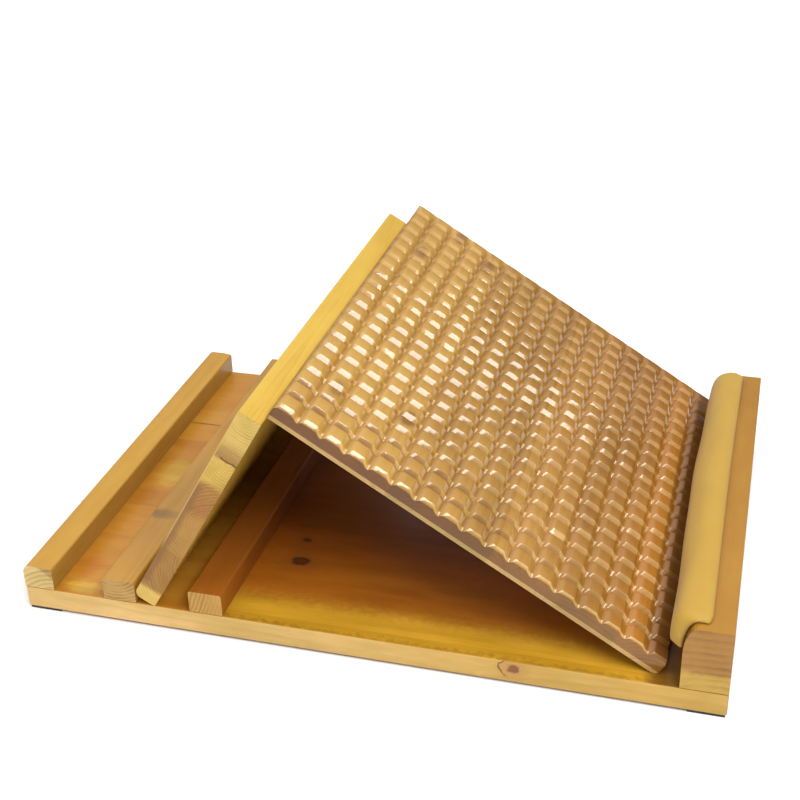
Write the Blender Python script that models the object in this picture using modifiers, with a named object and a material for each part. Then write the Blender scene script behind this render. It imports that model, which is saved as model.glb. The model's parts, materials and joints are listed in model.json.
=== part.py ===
"""Folding slant board: a wooden calf-stretch board with a carved massage tread.

A flat base panel carries a low toe rail, two stop strips and a tall padded heel rail.
The tread is hinged to the base at its heel end, and the prop is hinged to the tread's upper end.
The prop's foot stands in the slot between the two stop strips.

Frame: metres, +Z up, +X towards the heel rail, +Y across the board. The origin is the centre of
the whole object's footprint, on the surface that the rubber feet stand on.
Sizes inside this script are metres; MM turns the millimetre figures below into metres.
"""

import math

import bmesh
import bpy
from mathutils import Matrix, Vector

MM = 0.001
GAP = 0.3 * MM  # air kept between pieces that touch

# Base panel
BASE_LENGTH = 495 * MM
BASE_DEPTH = 350 * MM
BASE_THICK = 17 * MM
PANEL_EDGE_ROUND = 1.2 * MM
FOOT_THICK = 2 * MM
FOOT_SIDE = 24 * MM
FOOT_INSET = 1 * MM

# Rails and stop strips, measured from the toe end of the base panel
TOE_RAIL_WIDTH = 22.8 * MM
TOE_RAIL_HEIGHT = 18 * MM
TOE_RAIL_CREST = 14.4 * MM  # inwards of this its top falls a little
TOE_RAIL_FALL = 0.9 * MM
TOE_RAIL_ARRIS = 0.8 * MM
TOE_RAIL_ROUND = (5 * MM, 6 * MM)  # its outer top corner, along x and z
STRIP_WIDTH = 24.6 * MM
STRIP_HEIGHT = 17 * MM
STRIP_FOOT_ROUND = 0.4 * MM
OUTER_STRIP_START = 62.2 * MM
INNER_STRIP_START = 127.6 * MM
HEEL_RAIL_WIDTH = 31 * MM
HEEL_RAIL_HEIGHT = 47.3 * MM
HEEL_ROUND_X = 9 * MM  # the heel rail's inner top corner is a quarter ellipse
HEEL_ROUND_Z = 20 * MM

# Heel pad, wrapped over the heel rail's inner top corner
PAD_FACE_THICK = 9 * MM
PAD_TOP_THICK = 5.5 * MM
PAD_TOP_REACH = 17.5 * MM
PAD_DROP = 23 * MM  # how far it hangs down the rail's inner face
PAD_SETBACK = 5.5 * MM
PAD_LIP_ROUND = 4.5 * MM

# Tread and prop
PROP_DEPTH = 354 * MM
TREAD_DEPTH = 360 * MM
TREAD_SETBACK = 10 * MM  # the tread is mounted this far further along +Y than the prop
TREAD_ANGLE = math.radians(31.9)
TREAD_LENGTH = 300.5 * MM
TREAD_THICK = 14 * MM
NOSE_RADIUS = 3.5 * MM  # of the tread's lower arris, centred on the heel pins
GROOVE_PITCH = 17.9 * MM
GROOVE_HALF_WIDTH = 4.4 * MM
GROOVE_DEPTH = 2.5 * MM
FIRST_GROOVE = 16.8 * MM  # from the tread's upper end
GROOVE_COUNT = 16
PROP_ANGLE = math.radians(59.9)
PROP_THICK = 17 * MM
PROP_FOOT_OUTER_ROUND = 5 * MM
PROP_FOOT_INNER_ROUND = 2 * MM
HEEL_PIN_FROM_TOE = 447 * MM

# Butt hinges
HINGE_WIDTH = 38 * MM
HINGE_CENTRES = (75 * MM, 290 * MM)  # along the base's depth
BARREL_RADIUS = 3.5 * MM
BORE_RADIUS = 1.6 * MM
PIN_RADIUS = 1.5 * MM
LEAF_REACH = 21 * MM
LEAF_THICK = 1.4 * MM
BARREL_CLEARANCE = 1 * MM
KNUCKLE_GAP = 0.4 * MM
TONGUE_INSET = 0.05 * MM  # a tongue joins a plate to its barrel, just inside the plate's faces
TONGUE_LAP = 1 * MM
BASE_LEAF_SINK = 0.9 * MM  # how far the leaf's back lies below the base's top, less GAP
TREAD_LEAF_SINK = 0.4 * MM  # how far the leaf's face stands off the tread's underside
MORTISE_OVERRUN = 2 * MM
LEAF_SCREW_FROM_PIN = 13 * MM
LEAF_SCREW_SPREAD = 11 * MM

# Countersunk wood screws: head radius, shank radius, head depth, length
LEAF_SCREW = (2.9 * MM, 1.5 * MM, 1.3 * MM, 6.2 * MM)
RAIL_SCREW = (3.9 * MM, 1.9 * MM, 2.6 * MM, 28 * MM)
RAIL_SCREW_SINK = 0.5 * MM
RAIL_SCREWS_ALONG = (40 * MM, 175 * MM, 310 * MM)
SCREW_CLEARANCE = 0.2 * MM

SCREW_RECESS_DEPTH = 0.55  # as parts of the head's depth and radius
SCREW_RECESS_RADIUS = 0.38
SCREW_POINT = 1.6  # length of the point, in shank radii

EDGE_ROUND = 1.5 * MM  # sanded arrises of the rails, strips, tread and prop
TREAD_TOE_CHAMFER = 3 * MM
TURN_STEPS = 12
BARREL_STEPS = 16

# Places in the object's own frame
TOE_X = -BASE_LENGTH / 2
NEAR_Y = -(TREAD_SETBACK + TREAD_DEPTH) / 2
BASE_TOP = FOOT_THICK + BASE_THICK
HEEL_PIN = Vector((TOE_X + HEEL_PIN_FROM_TOE, 0, BASE_TOP + GAP + NOSE_RADIUS))
HEEL_FACE_X = TOE_X + BASE_LENGTH - HEEL_RAIL_WIDTH
HEEL_TOP = BASE_TOP + GAP + HEEL_RAIL_HEIGHT
HINGE_STANDOFF = BARREL_RADIUS + GAP  # from an apex pin to the tread's underside
PROP_FACE = -HINGE_STANDOFF - GAP  # the prop's inner face, from the apex pins

# The apex pins sit inside the corner between the tread's underside and the prop's inner face,
# at the same distance from both; APEX_ALONG is how far that is along either face.
APEX_OPENING = math.pi - TREAD_ANGLE - PROP_ANGLE
APEX_ALONG = HINGE_STANDOFF / math.tan(APEX_OPENING / 2)
TREAD_START = -(TREAD_LENGTH - NOSE_RADIUS)  # the tread's upper end, from the heel pins
TREAD_UNDERSIDE = -NOSE_RADIUS


def clear_scene():
    for item in list(bpy.data.objects):
        bpy.data.objects.remove(item, do_unlink=True)


def new_collection(name):
    group = bpy.data.collections.new(name)
    bpy.context.scene.collection.children.link(group)
    return group


def make_material(name, colour, roughness, metallic=0.0):
    made = bpy.data.materials.new(name)
    made.use_nodes = True
    shader = made.node_tree.nodes["Principled BSDF"]
    shader.inputs["Base Color"].default_value = (*colour, 1.0)
    shader.inputs["Roughness"].default_value = roughness
    shader.inputs["Metallic"].default_value = metallic
    made.diffuse_color = (*colour, 1.0)
    return made


clear_scene()
PARTS = new_collection("slant_board")
CUTTERS = new_collection("cutters")

PINE = make_material("varnished_pine", (0.62, 0.36, 0.11), 0.35)
HARDWOOD = make_material("varnished_hardwood", (0.50, 0.28, 0.12), 0.35)
PALE_WOOD = make_material("pale_wood", (0.80, 0.58, 0.22), 0.40)
CARVED_WOOD = make_material("carved_wood", (0.56, 0.33, 0.13), 0.30)
FOAM = make_material("heel_foam", (0.66, 0.47, 0.11), 0.80)
STEEL = make_material("hinge_steel", (0.62, 0.62, 0.60), 0.35, 1.0)
SCREW_STEEL = make_material("screw_steel", (0.50, 0.48, 0.42), 0.40, 1.0)
RUBBER = make_material("foot_rubber", (0.02, 0.02, 0.02), 0.75)


def place(item, material, parent=None):
    """Puts a finished piece in the parts collection with its material and parent."""
    for group in list(item.users_collection):
        group.objects.unlink(item)
    PARTS.objects.link(item)
    item.data.materials.clear()
    item.data.materials.append(material)
    item.parent = parent
    return item


def place_cutter(item, parent=None):
    for group in list(item.users_collection):
        group.objects.unlink(item)
    CUTTERS.objects.link(item)
    item.hide_render = True
    item.display_type = "WIRE"
    item.parent = parent
    return item


def boolean(item, other, operation="DIFFERENCE"):
    step = item.modifiers.new(f"{operation.lower()}_{other.name}", "BOOLEAN")
    step.object = other
    step.operation = operation
    step.solver = "EXACT"


def bevel(item, width, segments=2, angle=math.radians(40)):
    step = item.modifiers.new("rounded_edges", "BEVEL")
    step.width = width
    step.segments = segments
    step.limit_method = "ANGLE"
    step.angle_limit = angle


def new_mesh_object(name, mesh_builder):
    """A new object from bmesh operations; mesh_builder fills the bmesh."""
    shape = bmesh.new()
    mesh_builder(shape)
    mesh = bpy.data.meshes.new(name)
    shape.to_mesh(mesh)
    shape.free()
    item = bpy.data.objects.new(name, mesh)
    bpy.context.scene.collection.objects.link(item)
    return item


def box(name, low, high):
    """A cuboid between two corners, with its origin at the parent's."""
    size = Vector(high) - Vector(low)
    middle = (Vector(high) + Vector(low)) / 2

    def fill(shape):
        bmesh.ops.create_cube(shape, size=1)
        bmesh.ops.scale(shape, vec=size, verts=shape.verts)
        bmesh.ops.translate(shape, vec=middle, verts=shape.verts)

    return new_mesh_object(name, fill)


def rod(name, radius, y_low, y_high, centre=(0, 0), steps=BARREL_STEPS):
    """A cylinder along Y round the point centre = (x, z)."""

    def fill(shape):
        bmesh.ops.create_cone(
            shape, cap_ends=True, segments=steps, radius1=radius, radius2=radius, depth=y_high - y_low
        )
        turn = Matrix.Rotation(math.radians(90), 4, "X")
        move = Matrix.Translation((centre[0], (y_low + y_high) / 2, centre[1]))
        bmesh.ops.transform(shape, matrix=move @ turn, verts=shape.verts)

    item = new_mesh_object(name, fill)
    item.data.shade_smooth()
    item.data.set_sharp_from_angle(angle=math.radians(40))
    return item


def outline_solid(name, outline, y_low, y_high):
    """A flat outline of (x, z) points, extruded along Y into a closed mesh."""
    curve = bpy.data.curves.new(name, "CURVE")
    curve.dimensions = "2D"
    curve.fill_mode = "BOTH"
    curve.extrude = (y_high - y_low) / 2
    spline = curve.splines.new("POLY")
    spline.points.add(len(outline) - 1)
    for point, (x, z) in zip(spline.points, outline):
        point.co = (x, z, 0, 1)
    spline.use_cyclic_u = True
    guide = bpy.data.objects.new(name + "_outline", curve)
    bpy.context.scene.collection.objects.link(guide)
    graph = bpy.context.evaluated_depsgraph_get()
    mesh = bpy.data.meshes.new_from_object(guide.evaluated_get(graph))
    bpy.data.objects.remove(guide, do_unlink=True)
    bpy.data.curves.remove(curve)

    shape = bmesh.new()
    shape.from_mesh(mesh)
    bmesh.ops.remove_doubles(shape, verts=shape.verts, dist=0.00001)
    turn = Matrix.Rotation(math.radians(90), 4, "X")
    move = Matrix.Translation((0, (y_low + y_high) / 2, 0))
    bmesh.ops.transform(shape, matrix=move @ turn, verts=shape.verts)
    bmesh.ops.dissolve_limit(shape, angle_limit=0.001, verts=shape.verts, edges=shape.edges)
    bmesh.ops.recalc_face_normals(shape, faces=shape.faces)
    shape.to_mesh(mesh)
    shape.free()
    mesh.name = name
    item = bpy.data.objects.new(name, mesh)
    bpy.context.scene.collection.objects.link(item)
    item.data.shade_smooth()
    item.data.set_sharp_from_angle(angle=math.radians(30))
    return item


def arc(centre, radii, start, end, steps):
    """Points (x, z) on an elliptical arc, angles in degrees from +x towards +z."""
    points = []
    for step in range(steps + 1):
        angle = math.radians(start + (end - start) * step / steps)
        points.append((centre[0] + radii[0] * math.cos(angle), centre[1] + radii[1] * math.sin(angle)))
    return points


def rounded_rectangle(x_low, x_high, z_low, z_high, corners, steps=4):
    """corners are the radii at low-low, high-low, high-high and low-high."""
    centres = (
        (x_low + corners[0], z_low + corners[0]),
        (x_high - corners[1], z_low + corners[1]),
        (x_high - corners[2], z_high - corners[2]),
        (x_low + corners[3], z_high - corners[3]),
    )
    points = []
    for index, (centre, radius) in enumerate(zip(centres, corners)):
        start = 180 + 90 * index
        points += arc(centre, (radius, radius), start, start + 90, steps)
    return points


def turned(name, profile, steps=TURN_STEPS):
    """A solid of revolution about Z; profile runs (radius, z) from its top to its bottom."""
    mesh = bpy.data.meshes.new(name)
    points = [(radius, 0, z) for radius, z in profile]
    edges = [(index, index + 1) for index in range(len(points) - 1)]
    mesh.from_pydata(points, edges, [])
    item = bpy.data.objects.new(name, mesh)
    bpy.context.scene.collection.objects.link(item)
    step = item.modifiers.new("turned", "SCREW")
    step.axis = "Z"
    step.steps = steps
    step.render_steps = steps
    step.use_merge_vertices = True
    step.merge_threshold = 0.00001
    step.use_smooth_shade = True
    return item


def screw_profile(head_radius, shank_radius, head_depth, length, clearance=0.0, recess=True):
    """A countersunk screw standing on its point, its head's flat face at z = 0."""
    top = clearance * 4
    profile = [(head_radius + clearance, 0), (shank_radius + clearance, -head_depth)]
    if recess:
        profile = [(0, -head_depth * SCREW_RECESS_DEPTH), (head_radius * SCREW_RECESS_RADIUS, 0)] + profile
    else:
        profile = [(0, top), (head_radius + clearance, top)] + profile
    tip = -length - clearance
    profile += [(shank_radius + clearance, tip + shank_radius * SCREW_POINT), (0, tip)]
    return profile


def screw(name, sizes, location, rotation, parent, cut_pieces):
    """A screw, and the pilot hole for it in each piece that it passes through."""
    item = turned(name, screw_profile(*sizes))
    cutter = turned(name + "_hole", screw_profile(*sizes, clearance=SCREW_CLEARANCE, recess=False))
    place(item, SCREW_STEEL, parent)
    place_cutter(cutter, parent)
    for piece in (item, cutter):
        piece.location = location
        piece.rotation_euler = rotation
    for piece in cut_pieces:
        boolean(piece, cutter)
    return item


# --- Base: panel, feet, rails and strips -----------------------------------------------------


def base_x(distance):
    return TOE_X + distance


def base_y(distance):
    return NEAR_Y + distance


def make_base_panel():
    low = (TOE_X, NEAR_Y, FOOT_THICK)
    high = (TOE_X + BASE_LENGTH, NEAR_Y + BASE_DEPTH, BASE_TOP)
    panel = place(box("base_panel", low, high), PINE)
    bevel(panel, PANEL_EDGE_ROUND)
    return panel


def make_feet():
    """Four thin rubber pads glued under the panel's corners."""
    last_x = BASE_LENGTH - FOOT_INSET - FOOT_SIDE
    last_y = BASE_DEPTH - FOOT_INSET - FOOT_SIDE
    for end, x in (("toe", base_x(FOOT_INSET)), ("heel", base_x(last_x))):
        for side, y in (("near", base_y(FOOT_INSET)), ("far", base_y(last_y))):
            low = (x, y, 0)
            high = (x + FOOT_SIDE, y + FOOT_SIDE, FOOT_THICK - GAP)
            place(box(f"foot_{end}_{side}", low, high), RUBBER)


def make_strip(name, start, width, height):
    outline = rounded_rectangle(
        base_x(start), base_x(start + width), BASE_TOP + GAP, BASE_TOP + GAP + height,
        (STRIP_FOOT_ROUND, STRIP_FOOT_ROUND, EDGE_ROUND, EDGE_ROUND), steps=3,
    )
    strip = outline_solid(name, outline, base_y(0), base_y(BASE_DEPTH))
    return place(strip, HARDWOOD)


def make_toe_rail():
    """Low rail with a softly rounded outer face and a slight fall along its inner top edge."""
    bottom = BASE_TOP + GAP
    top = bottom + TOE_RAIL_HEIGHT
    inner = base_x(TOE_RAIL_WIDTH)
    fallen = top - TOE_RAIL_FALL
    round_x, round_z = TOE_RAIL_ROUND
    outline = [(base_x(0), bottom), (inner, bottom), (inner, fallen - TOE_RAIL_ARRIS)]
    outline += [(inner - TOE_RAIL_ARRIS, fallen), (base_x(TOE_RAIL_CREST), top)]
    outline += arc((base_x(round_x), top - round_z), TOE_RAIL_ROUND, 90, 180, 5)
    rail = outline_solid("toe_rail", outline, base_y(0), base_y(BASE_DEPTH))
    return place(rail, HARDWOOD)


def heel_corner(offset, start, end, steps=8):
    """The quarter ellipse of the heel rail's inner top corner, grown by offset = (x, z)."""
    centre = (HEEL_FACE_X + HEEL_ROUND_X, HEEL_TOP - HEEL_ROUND_Z)
    return arc(centre, (HEEL_ROUND_X + offset[0], HEEL_ROUND_Z + offset[1]), start, end, steps)


def make_heel_rail():
    bottom = BASE_TOP + GAP
    outer = TOE_X + BASE_LENGTH
    outline = [(HEEL_FACE_X, bottom), (outer, bottom)]
    outline += arc((outer - EDGE_ROUND, HEEL_TOP - EDGE_ROUND), (EDGE_ROUND, EDGE_ROUND), 0, 90, 3)
    outline += heel_corner((0, 0), 90, 180)
    rail = outline_solid("heel_rail", outline, base_y(0), base_y(BASE_DEPTH))
    return place(rail, PINE)


def make_heel_pad():
    """Foam strip of even section that follows the heel rail's rounded corner."""
    right = HEEL_FACE_X + PAD_TOP_REACH
    drop_z = HEEL_TOP - PAD_DROP
    top = HEEL_TOP + PAD_TOP_THICK
    face = HEEL_FACE_X - PAD_FACE_THICK
    lip = PAD_LIP_ROUND
    outline = [(right, HEEL_TOP + GAP)]
    outline += arc((right - lip, top - lip), (lip, lip), 0, 90, 4)
    outline += heel_corner((PAD_FACE_THICK, PAD_TOP_THICK), 90, 180)
    outline += arc((face + lip, drop_z + lip), (lip, lip), 180, 270, 4)
    outline += [(HEEL_FACE_X - GAP, drop_z)]
    outline += heel_corner((GAP, GAP), 180, 90)
    pad = outline_solid("heel_pad", outline, base_y(PAD_SETBACK), base_y(BASE_DEPTH - PAD_SETBACK))
    return place(pad, FOAM)


# --- Tread and prop --------------------------------------------------------------------------


def make_axis(name, location, angle, parent=None):
    """An empty on a joint's axis; its pieces turn with it about their local Y."""
    axis = bpy.data.objects.new(name, None)
    PARTS.objects.link(axis)
    axis.empty_display_size = 0.03
    axis.location = location
    axis.rotation_euler = (0, angle, 0)
    axis.parent = parent
    return axis


def groove_points(centre, top):
    """A rounded V groove in the tread's top, walked from its heel side to its toe side."""
    half = GROOVE_HALF_WIDTH
    steps = ((1, 0), (0.61, 0.65), (0.27, 0.94), (0, 1))
    down = [(centre + half * across, top - GROOVE_DEPTH * depth) for across, depth in steps]
    up = [(2 * centre - x, z) for x, z in reversed(down[:-1])]
    return down + up


def make_tread(parent):
    """In the heel axis' frame: x runs down the slope, z out of the tread's top."""
    start = TREAD_START
    end = NOSE_RADIUS
    top = TREAD_UNDERSIDE + TREAD_THICK
    outline = [(start, TREAD_UNDERSIDE)]
    outline += arc((0, 0), (NOSE_RADIUS, NOSE_RADIUS), 270, 360, 6)
    outline += arc((end - EDGE_ROUND, top - EDGE_ROUND), (EDGE_ROUND, EDGE_ROUND), 0, 90, 3)
    for index in reversed(range(GROOVE_COUNT)):
        outline += groove_points(start + FIRST_GROOVE + index * GROOVE_PITCH, top)
    outline += [(start + TREAD_TOE_CHAMFER, top), (start, top - TREAD_TOE_CHAMFER)]
    near = base_y(TREAD_SETBACK)
    tread = outline_solid("tread_board", outline, near, near + TREAD_DEPTH)
    return place(tread, CARVED_WOOD, parent)


def make_prop(parent):
    """In the apex axis' frame: z runs up the prop, x out of its inner face."""
    inner = PROP_FACE
    outer = inner - PROP_THICK
    top = APEX_ALONG
    apex_height = (parent.parent.matrix_world @ parent.matrix_basis).translation.z
    # the foot's inner arris is rounded, so its lowest point is a little above the square corner
    round_lift = PROP_FOOT_INNER_ROUND * (math.sin(PROP_ANGLE) + math.cos(PROP_ANGLE) - 1)
    corner_height = BASE_TOP + GAP - round_lift
    bottom = (corner_height - apex_height + inner * math.cos(PROP_ANGLE)) / math.sin(PROP_ANGLE)
    outline = rounded_rectangle(
        outer, inner, bottom, top,
        (PROP_FOOT_OUTER_ROUND, PROP_FOOT_INNER_ROUND, EDGE_ROUND, EDGE_ROUND),
    )
    prop = outline_solid("prop_board", outline, base_y(0), base_y(PROP_DEPTH))
    return place(prop, PALE_WOOD, parent)


# --- Hinges ----------------------------------------------------------------------------------


def leaf_frame(name, parent, pin, rotation):
    """A leaf's own frame: origin on the pin, x along the leaf, z out of the face it lies on."""
    frame = bpy.data.objects.new(name + "_frame", None)
    PARTS.objects.link(frame)
    frame.empty_display_size = 0.01
    frame.location = pin
    frame.rotation_euler = rotation
    frame.parent = parent
    return frame


def make_leaf(name, frame, centre_y, knuckles, level):
    """A leaf whose plate lies between level and level + LEAF_THICK, with its barrels on the pin.

    knuckles lists this leaf's thirds of the hinge's width, from 0 to 2.
    """
    third = HINGE_WIDTH / 3
    low_y = centre_y - HINGE_WIDTH / 2
    start = BARREL_RADIUS + KNUCKLE_GAP
    plate = box(name, (start, low_y, level), (LEAF_REACH, low_y + HINGE_WIDTH, level + LEAF_THICK))
    place(plate, STEEL, frame)
    for knuckle in knuckles:
        y0 = low_y + third * knuckle + KNUCKLE_GAP / 2
        y1 = low_y + third * (knuckle + 1) - KNUCKLE_GAP / 2
        low = (0, y0, level + TONGUE_INSET)
        high = (start + TONGUE_LAP, y1, level + LEAF_THICK - TONGUE_INSET)
        tongue = box(f"{name}_tongue_{knuckle}", low, high)
        barrel = rod(f"{name}_barrel_{knuckle}", BARREL_RADIUS, y0, y1)
        for piece in (tongue, barrel):
            place_cutter(piece, frame)
            boolean(plate, piece, "UNION")
    bore = rod(
        f"{name}_bore", BORE_RADIUS, low_y - BARREL_CLEARANCE, low_y + HINGE_WIDTH + BARREL_CLEARANCE
    )
    place_cutter(bore, frame)
    boolean(plate, bore)
    return plate


def make_mortise(name, board, frame, centre_y, low_x, high_x, low_z, high_z):
    """A shallow recess in a board for a leaf or a barrel."""
    half = HINGE_WIDTH / 2 + GAP
    cutter = box(name, (low_x, centre_y - half, low_z), (high_x, centre_y + half, high_z))
    place_cutter(cutter, frame)
    boolean(board, cutter)


def make_leaf_screws(name, frame, centre_y, outer_face, into, leaf, board):
    """Two screws through a leaf into its board; into is the direction of the screw, +1 or -1."""
    rotation = (0, 0, 0) if into < 0 else (math.pi, 0, 0)
    for label, side in (("a", -1), ("b", 1)):
        location = (LEAF_SCREW_FROM_PIN, centre_y + side * LEAF_SCREW_SPREAD, outer_face)
        screw(f"{name}_screw_{label}", LEAF_SCREW, location, rotation, frame, (leaf, board))


def make_pin(name, parent, pin, centre_y):
    half = HINGE_WIDTH / 2
    return place(rod(name, PIN_RADIUS, centre_y - half, centre_y + half, (pin[0], pin[2])), STEEL, parent)


def make_heel_hinge(side, centre_y, base_panel, tread_board, heel_axis):
    """Joins the base's top to the tread's underside, its barrel let into the tread's lower end."""
    name = f"heel_hinge_{side}"
    # both leaves run towards the toe, so their frames look along -X with z still up
    about_turn = (0, 0, math.pi)
    base_frame = leaf_frame(f"{name}_base", None, HEEL_PIN, about_turn)
    mirrored_y = -centre_y
    level = -BARREL_RADIUS - BASE_LEAF_SINK
    base_leaf = make_leaf(f"{name}_base_leaf", base_frame, mirrored_y, (1,), level)
    make_mortise(
        f"{name}_base_mortise", base_panel, base_frame, mirrored_y,
        -BARREL_RADIUS - BARREL_CLEARANCE, LEAF_REACH + GAP, level - GAP, 0,
    )
    make_leaf_screws(f"{name}_base", base_frame, mirrored_y, level + LEAF_THICK, -1, base_leaf, base_panel)

    tread_frame = leaf_frame(f"{name}_tread", heel_axis, (0, 0, 0), about_turn)
    level = TREAD_UNDERSIDE - TREAD_LEAF_SINK
    barrel_room = BARREL_RADIUS + KNUCKLE_GAP
    tread_leaf = make_leaf(f"{name}_tread_leaf", tread_frame, mirrored_y, (0, 2), level)
    make_mortise(
        f"{name}_tread_mortise", tread_board, tread_frame, mirrored_y,
        -NOSE_RADIUS - MORTISE_OVERRUN, LEAF_REACH + GAP, level - MORTISE_OVERRUN, level + LEAF_THICK + GAP,
    )
    make_mortise(
        f"{name}_barrel_mortise", tread_board, tread_frame, mirrored_y,
        -NOSE_RADIUS - MORTISE_OVERRUN, barrel_room, level - MORTISE_OVERRUN, barrel_room,
    )
    make_leaf_screws(f"{name}_tread", tread_frame, mirrored_y, level, 1, tread_leaf, tread_board)
    make_pin(f"{name}_pin", None, HEEL_PIN, centre_y)


def make_apex_hinge(side, centre_y, tread_board, prop_board, heel_axis, apex_axis):
    """Joins the tread's underside to the prop's inner face, both leaves lying on the wood."""
    name = f"apex_hinge_{side}"
    pin = apex_axis.location.copy()
    tread_frame = leaf_frame(f"{name}_tread", heel_axis, pin, (0, 0, 0))
    level = HINGE_STANDOFF - GAP - LEAF_THICK
    tread_leaf = make_leaf(f"{name}_tread_leaf", tread_frame, centre_y, (0, 2), level)
    make_leaf_screws(f"{name}_tread", tread_frame, centre_y, level, 1, tread_leaf, tread_board)

    # the prop leaf runs down the prop: its x is the prop's -z, its z the prop's x
    prop_frame = leaf_frame(f"{name}_prop", apex_axis, (0, 0, 0), (0, math.pi / 2, 0))
    level = PROP_FACE + GAP
    prop_leaf = make_leaf(f"{name}_prop_leaf", prop_frame, centre_y, (1,), level)
    make_leaf_screws(f"{name}_prop", prop_frame, centre_y, level + LEAF_THICK, -1, prop_leaf, prop_board)
    make_pin(f"{name}_pin", heel_axis, pin, centre_y)


# --- Assembly --------------------------------------------------------------------------------


def make_rail_screws(base_panel, fixed_pieces):
    """Screws up through the base panel into each rail and strip, heads sunk in its underside."""
    for piece, name, centre in fixed_pieces:
        for index, along in enumerate(RAIL_SCREWS_ALONG):
            location = (base_x(centre), base_y(along), FOOT_THICK + RAIL_SCREW_SINK)
            label = f"{name}_screw_{index + 1}"
            screw(label, RAIL_SCREW, location, (math.pi, 0, 0), None, (base_panel, piece))


def main():
    base_panel = make_base_panel()
    make_feet()
    toe_rail = make_toe_rail()
    outer_strip = make_strip("stop_strip_outer", OUTER_STRIP_START, STRIP_WIDTH, STRIP_HEIGHT)
    inner_strip = make_strip("stop_strip_inner", INNER_STRIP_START, STRIP_WIDTH, STRIP_HEIGHT)
    heel_rail = make_heel_rail()
    make_heel_pad()
    make_rail_screws(
        base_panel,
        (
            (toe_rail, "toe_rail", TOE_RAIL_WIDTH / 2),
            (outer_strip, "stop_strip_outer", OUTER_STRIP_START + STRIP_WIDTH / 2),
            (inner_strip, "stop_strip_inner", INNER_STRIP_START + STRIP_WIDTH / 2),
            (heel_rail, "heel_rail", BASE_LENGTH - HEEL_RAIL_WIDTH / 2),
        ),
    )

    heel_axis = make_axis("heel_axis", HEEL_PIN, TREAD_ANGLE)
    apex_place = (TREAD_START + APEX_ALONG, 0, TREAD_UNDERSIDE - HINGE_STANDOFF)
    apex_axis = make_axis("apex_axis", apex_place, math.pi / 2 - PROP_ANGLE - TREAD_ANGLE, heel_axis)
    bpy.context.view_layer.update()
    tread_board = make_tread(heel_axis)
    prop_board = make_prop(apex_axis)
    for side, along in zip(("near", "far"), HINGE_CENTRES):
        make_heel_hinge(side, base_y(along), base_panel, tread_board, heel_axis)
        make_apex_hinge(side, base_y(along), tread_board, prop_board, heel_axis, apex_axis)


main()
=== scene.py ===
import json
import math

import bmesh
import bpy
import numpy as np
from mathutils import Euler, Matrix, Quaternion, Vector


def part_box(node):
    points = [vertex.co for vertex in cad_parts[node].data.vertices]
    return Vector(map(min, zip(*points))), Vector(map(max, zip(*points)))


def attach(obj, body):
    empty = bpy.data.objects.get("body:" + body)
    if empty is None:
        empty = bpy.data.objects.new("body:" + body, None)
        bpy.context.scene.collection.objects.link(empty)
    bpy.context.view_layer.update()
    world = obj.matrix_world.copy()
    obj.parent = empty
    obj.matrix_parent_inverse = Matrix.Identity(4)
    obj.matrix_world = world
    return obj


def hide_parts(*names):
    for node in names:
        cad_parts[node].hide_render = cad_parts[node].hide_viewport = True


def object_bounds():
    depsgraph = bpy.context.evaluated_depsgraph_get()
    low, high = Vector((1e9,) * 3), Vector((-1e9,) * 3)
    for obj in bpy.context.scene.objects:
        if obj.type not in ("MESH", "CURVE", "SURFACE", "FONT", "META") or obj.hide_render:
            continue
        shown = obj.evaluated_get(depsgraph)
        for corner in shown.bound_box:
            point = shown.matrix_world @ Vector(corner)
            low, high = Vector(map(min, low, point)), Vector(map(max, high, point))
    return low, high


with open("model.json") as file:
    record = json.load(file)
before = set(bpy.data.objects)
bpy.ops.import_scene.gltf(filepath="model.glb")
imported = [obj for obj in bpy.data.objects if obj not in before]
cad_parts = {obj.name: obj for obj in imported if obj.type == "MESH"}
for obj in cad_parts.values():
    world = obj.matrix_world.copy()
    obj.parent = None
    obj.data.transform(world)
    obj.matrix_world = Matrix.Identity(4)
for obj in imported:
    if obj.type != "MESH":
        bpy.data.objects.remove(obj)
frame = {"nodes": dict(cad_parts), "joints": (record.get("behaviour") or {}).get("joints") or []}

MM = 0.001
CAD_BOX = [list(corner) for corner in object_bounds()]
NODES = frame["nodes"]
RANDOM = np.random.default_rng(7)

# --- Camera and lights -------------------------------------------------------------------------

CAMERA_FROM_BASE = (0.48823, -0.70770, 0.60423)  # from the base panel's lowest corner
CAMERA_TURN = (61.507, 1.651, 15.837)  # degrees
CAMERA_LENS = 62.362
CAMERA_SHIFT = (0.01775, -0.00072)

scene = bpy.context.scene
scene.view_settings.view_transform = "Standard"
scene.view_settings.look = "None"

base_low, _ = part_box("base_panel")
whole_low, whole_high = (Vector(corner) for corner in CAD_BOX)
centre = (whole_low + whole_high) / 2

camera = bpy.data.objects.new("camera", bpy.data.cameras.new("camera"))
scene.collection.objects.link(camera)
camera.location = base_low + Vector(CAMERA_FROM_BASE)
camera.rotation_euler = Euler([math.radians(turn) for turn in CAMERA_TURN])
camera.data.lens = CAMERA_LENS
camera.data.sensor_width = 36
camera.data.shift_x, camera.data.shift_y = CAMERA_SHIFT
camera.data.clip_start = 0.05
camera.data.clip_end = 60
scene.camera = camera


def area_light(name, direction, distance, size, power, roll):
    """A softbox that looks at the object's centre from a direction, rolled about that line."""
    data = bpy.data.lights.new(name, "AREA")
    data.shape = "RECTANGLE"
    data.size, data.size_y = size
    data.energy = power
    lamp = bpy.data.objects.new(name, data)
    scene.collection.objects.link(lamp)
    outwards = Vector(direction).normalized()
    lamp.location = centre + outwards * distance
    lamp.rotation_mode = "QUATERNION"
    aimed = (-outwards).to_track_quat("-Z", "Y")
    lamp.rotation_quaternion = aimed @ Quaternion((0, 0, 1), math.radians(roll))


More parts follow.
